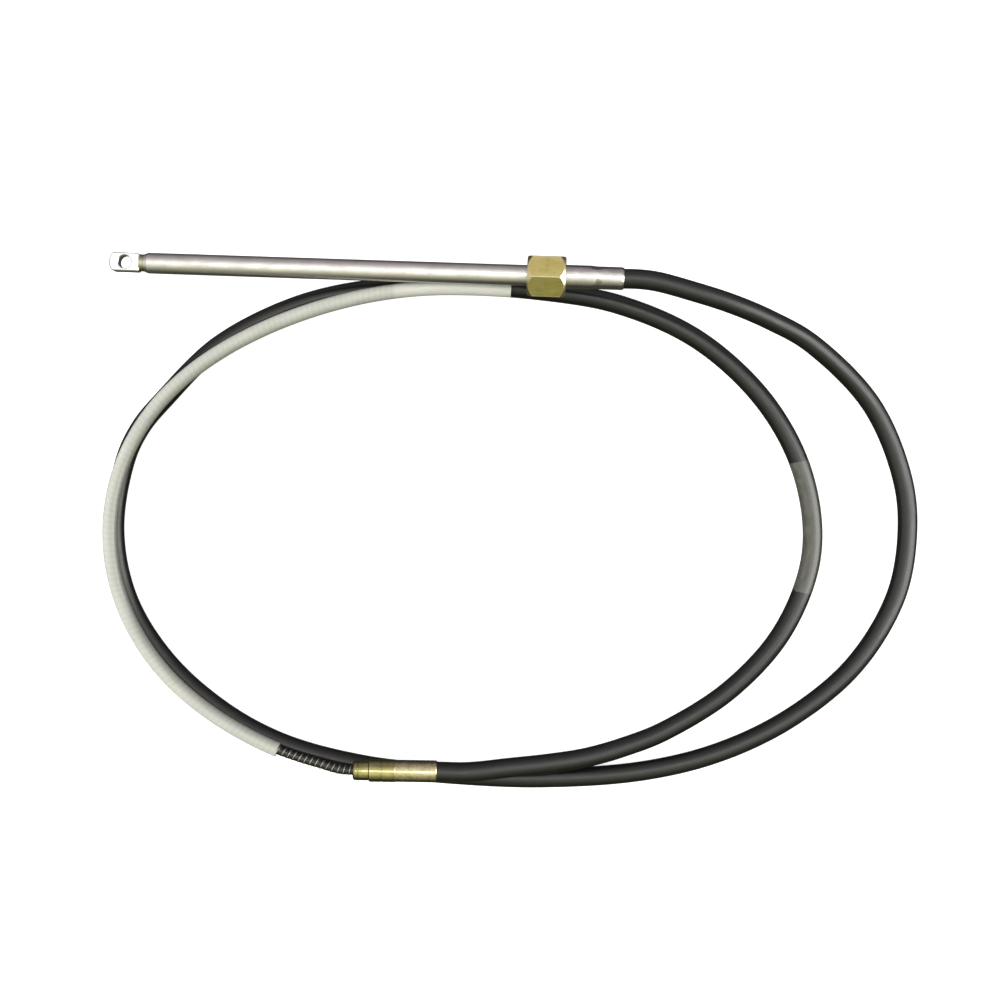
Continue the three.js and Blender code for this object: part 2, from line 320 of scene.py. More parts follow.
def nearest_distance(curve, spot):
    """How far along a curve the point nearest to a spot lies."""
    nearest = min(range(len(curve)), key=lambda i: (curve[i] - spot).length)
    return sum((b - a).length for a, b in zip(curve[:nearest], curve[1:nearest + 1]))


def label_film():
    """Clear film, a little cloudy with age, over the black jacket."""
    material, tree, surface = start_finish("label_film")
    place = laid_straight(tree)
    cloud = grain(tree, place, (120, 300, 300), detail=5, roughness=0.65)
    drag = grain(tree, place, (25, 1400, 1400), detail=4)
    clouded = between(tree, level(tree, cloud, 0.35, 0.7), (0.036, 0.038, 0.030), (0.068, 0.070, 0.057))
    tree.links.new(clouded, surface.inputs["Base Color"])
    tree.links.new(level(tree, cloud, 0.3, 0.7, 0.3, 0.42), surface.inputs["Roughness"])
    tree.links.new(relief(tree, drag, 0.00002), surface.inputs["Normal"])
    return material


def film_radius(along, angle):
    """The film lies a little proud of the jacket, and twice as proud where it laps over itself."""
    lap = 2 if abs(angle - lap_at) < lap_reach else 1
    wrinkle = 0.00001 * noise.noise(Vector((along * 160, 3 * math.cos(angle), 3 * math.sin(angle))))
    return casing_radius + lap * film_thickness + wrinkle


def slanted(rings, straight):
    """The film was wrapped a little askew, so its two ends slant across the jacket."""
    for i, (ring, straight_ring) in enumerate(zip(rings, straight)):
        along = i * film_spacing
        for end, sign in ((along, 1), (film_length - along, -1)):
            askew = film_slant * max(0.0, 1 - end / film_slant_reach)
            for j in range(len(ring)):
                shift = sign * askew * math.cos(2 * math.pi * j / len(ring))
                ahead = rings[min(i + 1, len(rings) - 1)][j] - rings[max(i - 1, 0)][j]
                ring[j] = ring[j] + ahead.normalized() * shift
                straight_ring[j] = straight_ring[j] + Vector((shift, 0, 0))


film_from = nearest_distance(casing_curve, film_start)
film_to = nearest_distance(casing_curve, film_end)
film_route, film_length = spaced(casing_curve, film_spacing, film_from, casing_length - film_to)
outside, outside_straight = rings_along(film_route, film_spacing, film_sides, film_radius)
slanted(outside, outside_straight)
inside, inside_straight = rings_along(
    film_route, film_spacing, film_sides, lambda along, angle: casing_radius - film_sunk_in)
slanted(inside, inside_straight)
film = skin("label_film", outside + inside[::-1], outside_straight + inside_straight[::-1], joined=True)
film.data.materials.append(label_film())
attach(film, "cable")


# Drive core. A steel wire rope with one stout wire wound round it in an open left-hand helix, which the
# helm's gear wheel meshes with. It comes out of the helm fitting and runs in oil, so its hollows are black.
core_radius = 0.0039
helix_wire_radius = 0.0009
helix_pitch = 0.00445
helix_stands_out = 0.0003
rope_radius = core_radius - helix_stands_out
rope_strands = 9
rope_lay = 0.046
strand_depth = 0.0003
bare_depth = 0.0002
core_short_of_sleeve = 0.089
helm_nose = 0.064
core_in_helm_fitting = 0.0057

core_points = [
    helm_place @ Vector((helm_nose - core_in_helm_fitting, 0, 0)),
    helm_place @ Vector((helm_nose, 0, 0)),
    (-0.1315, -0.1891, 0.0232), (-0.147, -0.1849, 0.0219), (-0.162, -0.1806, 0.0212),
    (-0.1836, -0.1728, 0.0208), (-0.2127, -0.1579, 0.0208), (-0.2397, -0.1397, 0.0207),
    (-0.2637, -0.1178, 0.0208), (-0.2835, -0.0919, 0.0209), (-0.298, -0.0625, 0.0211),
    (-0.3062, -0.0306, 0.0212), (-0.3074, 0.0022, 0.0212), (-0.3016, 0.0342, 0.0212),
    (-0.289, 0.0641, 0.021), (-0.2705, 0.0906, 0.0211), (-0.2472, 0.1133, 0.0209),
    (-0.2203, 0.1322, 0.0202), (-0.1912, 0.1475, 0.0198), (-0.1608, 0.1597, 0.0198),
    (-0.1297, 0.169, 0.0203), (-0.0981, 0.1753, 0.0214),
    (-0.0657, 0.1786, 0.0225), (-0.0327, 0.1788, 0.023), (-0.0003, 0.1774, 0.0228),
]
core_curve = smooth_curve(core_points)
rope_spacing = 0.0012
rope_route, core_length = spaced(core_curve, rope_spacing, short_of_end=core_short_of_sleeve)


def rope_surface(along, angle):
    """The strands stand out as ridges that wind round the rope."""
    turned = rope_strands * (angle + 2 * math.pi * along / rope_lay) / 2
    return rope_radius - strand_depth * (1 - abs(math.sin(turned)))


def out_from_middle(tree, apart):
    """How far a spot lies from the middle line of its piece, from its separate coordinates."""
    squares = [maths(tree, "MULTIPLY", apart.outputs[axis], apart.outputs[axis]) for axis in "YZ"]
    return maths(tree, "SQRT", maths(tree, "ADD", *squares))


def oiled_wire(name, crest, hollow, bare_steel):
    """Oiled steel: bare at one distance from the middle of the core, black with oil and dirt at another."""
    material, tree, surface = start_finish(name)
    place = laid_straight(tree)
    apart = node(tree, "SeparateXYZ", {"Vector": place})
    bare = level(tree, out_from_middle(tree, apart), hollow, crest)
    dirt = grain(tree, place, (300, 500, 500), detail=5, roughness=0.7)
    clean = maths(tree, "MULTIPLY", bare, level(tree, dirt, 0.3, 0.62, 0.35, 1.0))
    steel = between(tree, clean, (0.005, 0.0053, 0.0056), bare_steel)
    tree.links.new(steel, surface.inputs["Base Color"])
    tree.links.new(level(tree, clean, 0.0, 0.5), surface.inputs["Metallic"])
    tree.links.new(level(tree, dirt, 0.3, 0.7, 0.15, 0.28), surface.inputs["Roughness"])
    tree.links.new(relief(tree, dirt, 0.00003), surface.inputs["Normal"])
    return material


rope = skin("drive_core_rope", *rings_along(rope_route, rope_spacing, 54, rope_surface))
rope.data.materials.append(oiled_wire("oiled_rope", rope_radius, rope_radius - bare_depth, (0.07, 0.07, 0.065)))
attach(rope, "cable")

helix_steps = 24
helix_sides = 8
helix_spacing = helix_pitch / helix_steps
helix_route, helix_length = spaced(core_curve, helix_spacing, short_of_end=core_short_of_sleeve)
wire_middle = core_radius - helix_wire_radius


def wound_wire_rings():
    """Rings of the wire that winds round the rope, left-handed, and its shape along a straight rope."""
    middles, straight_middles, outward = [], [], []
    for i, (point, ahead, side, up) in enumerate(frames_along(helix_route)):
        angle = -2 * math.pi * i / helix_steps
        out = side * math.cos(angle) + up * math.sin(angle)
        straight_out = Vector((0, math.cos(angle), math.sin(angle)))
        middles.append(point + out * wire_middle)
        straight_middles.append(Vector((i * helix_spacing, 0, 0)) + straight_out * wire_middle)
        outward.append((out, straight_out))
    rings, straight = [], []
    for i, (out, straight_out) in enumerate(outward):
        before, after = max(i - 1, 0), min(i + 1, len(middles) - 1)
        beside = (middles[after] - middles[before]).normalized().cross(out).normalized()
        straight_ahead = (straight_middles[after] - straight_middles[before]).normalized()
        straight_beside = straight_ahead.cross(straight_out).normalized()
        ring, straight_ring = [], []
        for j in range(helix_sides):
            angle = 2 * math.pi * j / helix_sides
            over, along = helix_wire_radius * math.cos(angle), helix_wire_radius * math.sin(angle)
            ring.append(middles[i] + out * over + beside * along)
            straight_ring.append(straight_middles[i] + straight_out * over + straight_beside * along)
        rings.append(ring)
        straight.append(straight_ring)
    return rings, straight


wound_wire = skin("drive_core_wire", *wound_wire_rings())
wire_finish = oiled_wire("oiled_wound_wire", core_radius, core_radius - bare_depth, (0.58, 0.56, 0.47))
wound_wire.data.materials.append(wire_finish)
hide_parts("drive_core")
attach(wound_wire, "cable")


# Shipping sleeve. A soft milky plastic tube, 11 mm across, pushed over the drive core to keep its oil in.
# It is cut square at both ends, and its last 89 mm are empty.
sleeve_radius = 0.0056
sleeve_bore = 0.0045
sleeve_start = 0.066
sleeve_lip = 0.00018
sleeve_lip_length = 0.003
sleeve_spacing = 0.002
sleeve_route, sleeve_length = spaced(core_curve, sleeve_spacing, start=sleeve_start)


def milky_tube():
    """Cloudy plastic. Faint pale rings are painted where the turns of the wire lie under it, a painted glint of
    the lit wire seen through the tube.
    """
    material, tree, surface = start_finish("milky_tube")
    place = laid_straight(tree)
    cloud = grain(tree, place, (40, 220, 220), detail=5, roughness=0.6)
    drag = grain(tree, place, (15, 1200, 1200), detail=3)
    apart = node(tree, "SeparateXYZ", {"Vector": place})
    around = maths(tree, "ARCTAN2", apart.outputs["Z"], apart.outputs["Y"])
    turns = maths(tree, "DIVIDE", apart.outputs["X"], helix_pitch)
    phase = maths(tree, "FRACT", maths(tree, "ADD", turns, maths(tree, "DIVIDE", around, 2 * math.pi)))
    # Painted glint: pale rings over the wire's turns stand in for the lit wire showing through the plastic.
    ring = level(tree, maths(tree, "PINGPONG", phase, 0.5), 0.12, 0.3, 1.0, 0.0)
    filled = level(tree, apart.outputs["X"], sleeve_length - 0.091, sleeve_length - 0.087, 1.0, 0.0)
    milk = between(tree, level(tree, cloud, 0.3, 0.7), (0.335, 0.35, 0.31), (0.38, 0.395, 0.355))
    empty = between(tree, level(tree, cloud, 0.3, 0.7), (0.42, 0.43, 0.39), (0.47, 0.48, 0.44))
    milk_with_painted_glints = between(tree, maths(tree, "MULTIPLY", ring, 0.08), milk, (0.66, 0.67, 0.60))
    tree.links.new(between(tree, filled, empty, milk_with_painted_glints), surface.inputs["Base Color"])
    tree.links.new(level(tree, cloud, 0.3, 0.7, 0.28, 0.4), surface.inputs["Roughness"])
    tree.links.new(relief(tree, drag, 0.000015), surface.inputs["Normal"])
    surface.inputs["Subsurface Weight"].default_value = 0.3
    surface.inputs["Subsurface Scale"].default_value = 0.0015
    return material


def sleeve_outside(along, angle):
    """The knife left the sleeve's end flared by a hair."""
    return sleeve_radius + sleeve_lip * max(0.0, 1 - along / sleeve_lip_length)


outside, outside_straight = rings_along(sleeve_route, sleeve_spacing, 36, sleeve_outside)
inside, inside_straight = rings_along(sleeve_route, sleeve_spacing, 36, lambda along, angle: sleeve_bore)
sleeve = skin(
    "shipping_sleeve", outside + inside[::-1], outside_straight + inside_straight[::-1], joined=True)
sleeve.data.materials.append(milky_tube())
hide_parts("core_sleeve")
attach(sleeve, "cable")


# Helm fitting. A brass fitting, turned at its nose and swaged over the casing's end, with a groove for the
# clip that holds it in the helm and a thin ring near its nose. The drive core comes out of the nose.
helm_swaged_radius = 0.0084
helm_radius = 0.0086
nose_radius = 0.0076
helm_swaged_length = 0.032
step_at = 0.052
nose_rounding = 0.0019
clip_ring_at = helm_nose - 0.0042
helm_socket_depth = 0.008
helm_socket_radius = 0.0078
core_hole = 0.0045
core_hole_depth = 0.006
pinhole = 0.0002


def softened(corners, fillet, hold=0.00012):
    """A turned outline with each of its corners rounded, and held so that the flats beside them stay flat."""
    corners = [Vector(corner) for corner in corners]
    outline = [corners[0]]
    for before, corner, after in zip(corners, corners[1:], corners[2:]):
        back, ahead = before - corner, after - corner
        turn = math.pi - back.angle(ahead, 0)
        if turn < 0.05:
            outline.append(corner)
            continue
        cut = min(fillet * math.tan(turn / 2), 0.4 * back.length, 0.4 * ahead.length)
        near, far = corner + back.normalized() * cut, corner + ahead.normalized() * cut
        if back.length > 2.5 * (cut + hold):
            outline.append(near + back.normalized() * hold)
        for t in (0, 0.25, 0.5, 0.75, 1):
            outline.append(near * (1 - t) ** 2 + corner * 2 * t * (1 - t) + far * t * t)
        if ahead.length > 2.5 * (cut + hold):
            outline.append(far + ahead.normalized() * hold)
    outline.append(corners[-1])
    return outline


def turned(name, outline, place, sides=96, joined=False, shape=None):
    """A piece turned about its own X axis, from an outline of places along the axis and radii."""
    rings = []
    for along, radius in outline:
        ring = []
        for j in range(sides):
            angle = 2 * math.pi * j / sides
            out = radius + (shape(along, angle, radius) if shape else 0)
            ring.append(Vector((along, out * math.cos(angle), out * math.sin(angle))))
        rings.append(ring)
    return skin(name, rings, joined=joined, place=place)


def groove(start, radius, width, depth):
    """Two corners on a groove's near side, and two on its far side."""
    floor = radius - depth
    return [(start, radius), (start, floor), (start + width, floor), (start + width, radius)]


def evenly(start, end, spacing):
    """Places from a start to an end, evenly spaced, without the two ends."""
    count = max(1, round(abs(end - start) / spacing))
    return [start + (end - start) * i / count for i in range(1, count)]


def metal(name, dark, bright, roughness, lengthwise=0.0, round_about=0.0, spots=0.5):
    """Bare metal: its colour wanders between two tones, and fine lines run along it, round it, or both."""
    material, tree, surface = start_finish(name)
    place = own_place(tree)
    mottle = grain(tree, place, (90, 160, 160), detail=6, roughness=0.62)
    along = grain(tree, place, (14, 2600, 2600), detail=4, offset=(3, 1, 4))
    around = grain(tree, place, (5200, 60, 60), detail=3, offset=(1, 5, 9))
    pits = grain(tree, place, (1900, 1900, 1900), detail=3, roughness=0.7)
    stained = level(tree, mottle, 0.34, 0.66)
    colour = between(tree, stained, dark, bright)
    blotches = grain(tree, place, (240, 420, 420), detail=5, offset=(7, 2, 1))
    tarnish = level(tree, blotches, 0.58, 0.78, 0.0, spots)
    faded = tuple(0.55 * channel for channel in dark)
    tree.links.new(between(tree, tarnish, colour, faded), surface.inputs["Base Color"])
    surface.inputs["Metallic"].default_value = 1.0
    drawn = maths(tree, "MULTIPLY", along, lengthwise)
    lines = maths(tree, "ADD", drawn, maths(tree, "MULTIPLY", around, round_about))
    off_middle = maths(tree, "SUBTRACT", lines, 0.5 * (lengthwise + round_about))
    even = level(tree, stained, 0, 1, roughness + 0.05, roughness - 0.03)
    rough = maths(tree, "ADD", even, maths(tree, "MULTIPLY", off_middle, 0.25))
    tree.links.new(rough, surface.inputs["Roughness"])
    lined = relief(tree, lines, 0.00001)
    tree.links.new(relief(tree, pits, 0.000003, lined), surface.inputs["Normal"])
    return material, tree, surface


def helm_brass():
    """Dull turned brass on the nose and body. The swaged length is paler, and dented by the dies."""
    material, tree, surface = metal(
        "helm_brass", (0.23, 0.21, 0.09), (0.38, 0.35, 0.16), 0.14,
        lengthwise=0.3, round_about=1.0, spots=0.7)
    place = own_place(tree)
    along = node(tree, "SeparateXYZ", {"Vector": place}).outputs["X"]
    swaged = level(tree, along, helm_swaged_length - 0.0002, helm_swaged_length + 0.0002, 1.0, 0.0)
    worked = grain(tree, place, (260, 300, 300), detail=6, roughness=0.7)
    pale = between(tree, level(tree, worked, 0.35, 0.65), (0.32, 0.28, 0.155), (0.50, 0.45, 0.28))
    turned_colour = surface.inputs["Base Color"].links[0].from_socket
    tree.links.new(between(tree, swaged, turned_colour, pale), surface.inputs["Base Color"])
    turned_rough = surface.inputs["Roughness"].links[0].from_socket
    dulled = maths(tree, "MULTIPLY", swaged, level(tree, worked, 0.3, 0.7, 0.02, 0.16))
    tree.links.new(maths(tree, "ADD", turned_rough, dulled), surface.inputs["Roughness"])
    return material


def die_marks(along, angle, radius):
    """The swaging dies leave eight shallow lengthwise lands, which fade out before the turned body."""
    if along > helm_swaged_length or radius < helm_swaged_radius - 0.0003:
        return 0.0
    fade = min(1.0, (helm_swaged_length - along) / 0.003)
    lump = noise.noise(Vector((along * 220, 2.5 * math.cos(angle), 2.5 * math.sin(angle))))
    return fade * (-0.00003 * (1 - math.cos(8 * angle)) + 0.00004 * lump)


def clip_ring(middle, radius):
    """A thin wire ring seated in a narrow groove."""
    seat, wire, sunk = 0.00052, 0.0004, 0.00016
    bead = [(middle + wire * math.sin(a), radius - sunk + wire * math.cos(a))
            for a in (math.radians(10 * i) for i in range(-10, 11))]
    return [(middle - seat, radius), (middle - seat, bead[0][1]), *bead,
            (middle + seat, bead[-1][1]), (middle + seat, radius)]


swaged_steps = [(x, helm_swaged_radius) for x in evenly(0.0012, helm_swaged_length, 0.001)]
helm_outline = softened([
    (helm_socket_depth, pinhole), (helm_socket_depth, helm_socket_radius), (0, helm_socket_radius),
    (0, helm_swaged_radius - 0.0004), (0.0007, helm_swaged_radius),
    *swaged_steps,
    (helm_swaged_length, helm_swaged_radius), (helm_swaged_length + 0.0002, helm_radius),
    *groove(helm_swaged_length + 0.0099, helm_radius, 0.0008, 0.0004),
    (step_at - 0.0008, helm_radius), (step_at, nose_radius),
    *clip_ring(clip_ring_at, nose_radius),
    *[(helm_nose - nose_rounding * (1 - math.sin(a)), nose_radius - nose_rounding * (1 - math.cos(a)))
      for a in (math.radians(15 * i) for i in range(7))],
    (helm_nose, core_hole), (helm_nose - core_hole_depth, core_hole), (helm_nose - core_hole_depth, pinhole),
], fillet=0.0002)
helm_fitting = turned("helm_fitting_brass", helm_outline, helm_place, shape=die_marks)
helm_fitting.data.materials.append(helm_brass())
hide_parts("helm_fitting")
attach(helm_fitting, "cable")


# Eye. A forged stainless end with a flat tab, drilled 10 mm for the link arm's bolt. Its round neck is
# milled flat into the tab, and a spigot behind the neck goes into the ram tube, which is swaged on it.
eye_at = -0.308
tab_width = 0.0141
tab_thickness = 0.0095
tab_edge = 0.0008
nose_arc = 0.0101
nose_reach = 0.0123
back_reach = 0.0107
back_bulge = 0.001
eye_hole_radius = 0.0051
neck_radius = 0.00655
spigot_radius = 0.00635
ram_front = -0.2932
spigot_end = -0.2702


def tab_outline():
    """The tab seen from above: a round nose, straight sides, and a milled back edge that bulges slightly."""
    half = tab_width / 2
    centre = eye_at - nose_reach + nose_arc
    reach = math.asin(half / nose_arc)
    outline = []
    for i in range(33):
        angle = math.pi - reach + 2 * reach * i / 32
        outline.append((centre + nose_arc * math.cos(angle), nose_arc * math.sin(angle)))
    for i in range(17):
        t = i / 16
        outline.append((eye_at + back_reach + 4 * back_bulge * t * (1 - t), -half + 2 * half * t))
    return outline


def bevelled_plate(name, outline, low, high, bevel):
    """A flat plate of an outline, with its edges bevelled."""
    count = len(outline)
    points = [(x, y, z) for z in (low, high) for x, y in outline]
    faces = [tuple(range(count)), tuple(range(count, 2 * count))]
    faces += [(i, (i + 1) % count, count + (i + 1) % count, count + i) for i in range(count)]
    mesh = bpy.data.meshes.new(name)
    mesh.from_pydata(points, [], faces)
    shaped = bmesh.new()
    shaped.from_mesh(mesh)
    bmesh.ops.recalc_face_normals(shaped, faces=shaped.faces)
    if bevel:
        rims = [edge for edge in shaped.edges if edge.calc_face_angle(0) > 0.6]
        bmesh.ops.bevel(shaped, geom=rims, offset=bevel, segments=2, profile=0.3, affect="EDGES")
    shaped.to_mesh(mesh)
    shaped.free()
    plate = bpy.data.objects.new(name, mesh)
    bpy.context.collection.objects.link(plate)
    return plate


def combine(piece, operation, tool):
    """Joins a tool to a piece or cuts it from the piece, and clears the tool away."""
    step = piece.modifiers.new(operation.lower(), "BOOLEAN")
    step.operation = operation
    step.solver = "EXACT"
    step.object = tool
    evaluated = piece.evaluated_get(bpy.context.evaluated_depsgraph_get())
    result = bpy.data.meshes.new_from_object(evaluated)
    piece.modifiers.clear()
    piece.data = result
    bpy.data.objects.remove(tool)


def at_eye(tool):
    """Stands a turned tool upright in the eye's hole."""
    upright = Matrix.Translation((eye_at, 0, 0)) @ Matrix.Rotation(math.radians(-90), 4, "Y")
    tool.data.transform(upright)
    return tool


def machined_eye():
    """Machined stainless: nearly white flats with faint cutter lines, and a darker neck."""
    material, tree, surface = metal(
        "machined_eye", (0.62, 0.62, 0.58), (0.80, 0.80, 0.77), 0.3,
        lengthwise=0.4, round_about=0.5, spots=0.25)
    apart = node(tree, "SeparateXYZ", {"Vector": own_place(tree)})
    behind_tab = level(tree, apart.outputs["X"], eye_at + back_reach - 0.0002, eye_at + back_reach + 0.0012)
    bright = surface.inputs["Base Color"].links[0].from_socket
    tree.links.new(between(tree, behind_tab, bright, (0.36, 0.35, 0.24)), surface.inputs["Base Color"])
    return material


half_tab = tab_thickness / 2
neck_front = eye_at + eye_hole_radius + 0.0006
eye = bevelled_plate("ram_eye_forging", tab_outline(), -half_tab, half_tab, tab_edge)
neck = turned("neck", softened([
    (neck_front, pinhole), (neck_front, neck_radius),
    (ram_front - 0.0003, neck_radius), (ram_front - 0.0003, spigot_radius),
    (spigot_end - 0.0008, spigot_radius), (spigot_end, spigot_radius - 0.0008), (spigot_end, pinhole),
], fillet=0.0003), None)
for side in (-1, 1):
    flat = half_tab - tab_edge
    low, high = sorted((side * flat, side * (flat + 0.012)))
    combine(neck, "DIFFERENCE", bevelled_plate("milled_away", tab_outline(), low, high, 0))
combine(eye, "UNION", neck)
countersink = 0.0006
drill_reach = 0.008
drill_rim = eye_hole_radius + countersink + drill_reach - half_tab
combine(eye, "DIFFERENCE", at_eye(turned("drill", [
    (-drill_reach, drill_rim), (-half_tab + countersink, eye_hole_radius),
    (half_tab - countersink, eye_hole_radius), (drill_reach, drill_rim),
], None, sides=64)))
eye.data.shade_smooth()
eye.data.set_sharp_from_angle(angle=math.radians(32))
eye.matrix_world = ram_place
eye.data.materials.clear()
eye.data.materials.append(machined_eye())
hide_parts("ram_eye")
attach(eye, "ram")


# Ram tube. A drawn stainless tube, 15.9 mm across, which slides over the guide tube. Its front end is
# rolled down on the eye's spigot, which leaves fine rings for 22 mm and a shallow line where they end.
ram_radius = 0.00795
ram_bore = 0.00665
ram_rear = 0.0187
rolled_length = 0.0218


def drawn_stainless(name, dark, bright):
    """Drawn stainless tube: satin, with fine lines along it."""
    return metal(name, dark, bright, 0.31, lengthwise=1.0, round_about=0.35, spots=0.2)[0]


def rolled_rings(along, angle, radius):
    """Fine rings of the rolling tool near the front end, deeper towards the eye."""
    into = along - ram_front
    if radius < ram_bore + 0.0003 or not 0.002 < into < rolled_length:
        return 0.0
    return -0.000035 * (1 - 0.6 * into / rolled_length) * (1 + math.cos(2 * math.pi * into / 0.00125))


front_steps = [(x, ram_radius) for x in evenly(ram_front + 0.0027, ram_front + rolled_length, 0.0002)]
line_at = ram_front + rolled_length + 0.0003
ram_outline = softened([
    (ram_front + 0.001, ram_bore), (ram_front, ram_bore), (ram_front, ram_radius - 0.001),
    (ram_front + 0.0027, ram_radius), *front_steps, *groove(line_at, ram_radius, 0.0004, 0.00008),
    (ram_rear - 0.0008, ram_radius), (ram_rear, ram_radius - 0.0008), (ram_rear, ram_bore),
    (ram_rear - 0.001, ram_bore),
], fillet=0.0002)
ram_tube = turned("ram_tube_drawn", ram_outline, ram_place, joined=True, shape=rolled_rings)
ram_tube.data.materials.append(drawn_stainless("ram_stainless", (0.50, 0.485, 0.455), (0.62, 0.605, 0.575)))
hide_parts("ram_tube")
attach(ram_tube, "ram")


# Guide tube. A stainless tube inside the ram, fixed in the ferrule. It shows when the ram is pushed out,
# wears bright where the ram runs on it, and its front rim is chamfered.
guide_radius = 0.00635
guide_bore = 0.0045
guide_front = -0.2602
guide_end = 0.060
guide_outline = softened([
    (guide_front + 0.001, guide_bore), (guide_front, guide_bore), (guide_front, guide_radius - 0.0005),
    (guide_front + 0.0005, guide_radius), (guide_end, guide_radius), (guide_end, guide_bore),
    (guide_end - 0.001, guide_bore),
], fillet=0.00015)
guide_tube = turned("guide_tube_drawn", guide_outline, ram_place, joined=True)
guide_tube.data.materials.append(drawn_stainless("guide_stainless", (0.60, 0.59, 0.56), (0.72, 0.71, 0.68)))
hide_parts("guide_tube")
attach(guide_tube, "cable")


# Push rod. A plain stainless rod down the middle of the guide tube. It carries the drive core's push to
# the eye, and its rear end is chamfered so that it runs freely in the guide tube.
rod_radius = 0.0032
rod_chamfer = 0.0006
rod_front = spigot_end + 0.0003
rod_rear = guide_end - 0.0006
push_rod = turned("push_rod_ground", softened([
    (rod_front, pinhole), (rod_front, rod_radius), (rod_rear - rod_chamfer, rod_radius),
    (rod_rear, rod_radius - rod_chamfer), (rod_rear, pinhole),
], fillet=0.0001), ram_place, sides=48)
push_rod.data.materials.append(drawn_stainless("rod_stainless", (0.62, 0.61, 0.58), (0.74, 0.73, 0.70)))
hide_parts("push_rod")
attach(push_rod, "ram")


# Output ferrule. A stainless sleeve behind the nut, welded to the guide tube. Its front flange holds the
# nut, and its rear is swaged down on the casing, where the dies leave marks and a little brown stain.
ferrule_radius = 0.00905
ferrule_swaged_radius = 0.0086
flange_radius = 0.0103
flange_front = 0.019
flange_back = 0.022
taper_front = 0.048
taper_back = 0.053
socket_radius = 0.0078
guide_seat = 0.00665
guide_floor = guide_end + 0.0003
socket_floor = ferrule_end - 0.010
chamfer_from = ferrule_end - 0.0015


def swage_marks(along, angle, radius):
    """Shallow lands and lumps where the dies closed the sleeve on the casing."""
    if along < taper_front or radius < socket_radius + 0.0003:
        return 0.0
    fade = min(1.0, (along - taper_front) / 0.004, max(0.0, (chamfer_from - along) / 0.003))
    lump = noise.noise(Vector((along * 260, 2.2 * math.cos(angle), 2.2 * math.sin(angle) + 4)))
    return fade * (-0.00004 * (1 - math.cos(6 * angle)) + 0.00005 * lump)


def smear(tree, place, centre, half_length, half_width):
    """How strongly a stain shows: fully at its centre on the surface, and not at all past its reach."""
    reach = (1 / half_length, 1 / half_width, 1 / half_width)
    shift = node(tree, "VectorMath", {0: place, 1: centre}, operation="SUBTRACT").outputs["Vector"]
    scaled = node(tree, "VectorMath", {0: shift, 1: reach}, operation="MULTIPLY").outputs["Vector"]
    away = node(tree, "VectorMath", {0: scaled}, operation="LENGTH").outputs["Value"]
    ragged = grain(tree, place, (500, 900, 900), detail=5, roughness=0.7)
    edge = maths(tree, "ADD", away, level(tree, ragged, 0.2, 0.8, -0.45, 0.45))
    return level(tree, edge, 0.6, 1.1, 1.0, 0.0)


def swaged_stainless():
    """Stainless, smooth and bright in front, with a brown streak and a dull smudge on the swaged part."""
    material, tree, surface = metal(
        "swaged_stainless", (0.42, 0.405, 0.385), (0.56, 0.545, 0.525), 0.22, lengthwise=0.7, round_about=0.5)
    place = own_place(tree)
    clean = surface.inputs["Base Color"].links[0].from_socket
    streak = smear(tree, place, (0.052, 0.0060, 0.0062), 0.0055, 0.0016)
    browned = between(tree, maths(tree, "MULTIPLY", streak, 0.75), clean, (0.20, 0.13, 0.12))
    smudge = smear(tree, place, (0.054, -0.0042, 0.0076), 0.0028, 0.0026)
    tree.links.new(between(tree, maths(tree, "MULTIPLY", smudge, 0.7), browned, (0.17, 0.14, 0.11)),
                   surface.inputs["Base Color"])
    return material


ferrule_steps = [(x, ferrule_swaged_radius) for x in evenly(taper_back, chamfer_from, 0.0008)]
ferrule_outline = softened([
    (guide_floor, pinhole), (guide_floor, guide_seat), (flange_front, guide_seat),
    (flange_front, flange_radius), (flange_back, flange_radius), (flange_back, ferrule_radius),
    (taper_front, ferrule_radius), *[(x, ferrule_radius + (ferrule_swaged_radius - ferrule_radius)
                                      * (x - taper_front) / (taper_back - taper_front))
                                     for x in evenly(taper_front, taper_back, 0.0008)],
    (taper_back, ferrule_swaged_radius), *ferrule_steps,
    (chamfer_from, ferrule_swaged_radius), (ferrule_end, ferrule_swaged_radius - 0.0006),
    (ferrule_end, socket_radius), (socket_floor, socket_radius), (socket_floor, pinhole),
], fillet=0.00025)
ferrule = turned("output_ferrule_swaged", ferrule_outline, ram_place, shape=swage_marks)
ferrule.data.materials.append(swaged_stainless())
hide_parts("output_ferrule")
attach(ferrule, "cable")


# Coupling nut. Drawn hexagon brass, 30 mm across flats, with both ends chamfered. It is bored and threaded
# 14 to the inch from the front, and its rear lip turns freely behind the ferrule's flange.
nut_flats = 0.0302
nut_length = 0.0292
nut_face_radius = 0.0143
nut_chamfer = 0.0042
thread_radius = 0.01075
thread_pitch = 0.0254 / 14
thread_depth = 0.0009
thread_steps = 131
lip_front = 0.0223
lip_bore = 0.00935
nut_turn = 10
sides_per_flat = 24
nut_corner_radius = nut_flats / 2 / math.cos(math.pi / 6)
nut_chamfer_slope = nut_chamfer / (nut_corner_radius - nut_face_radius)


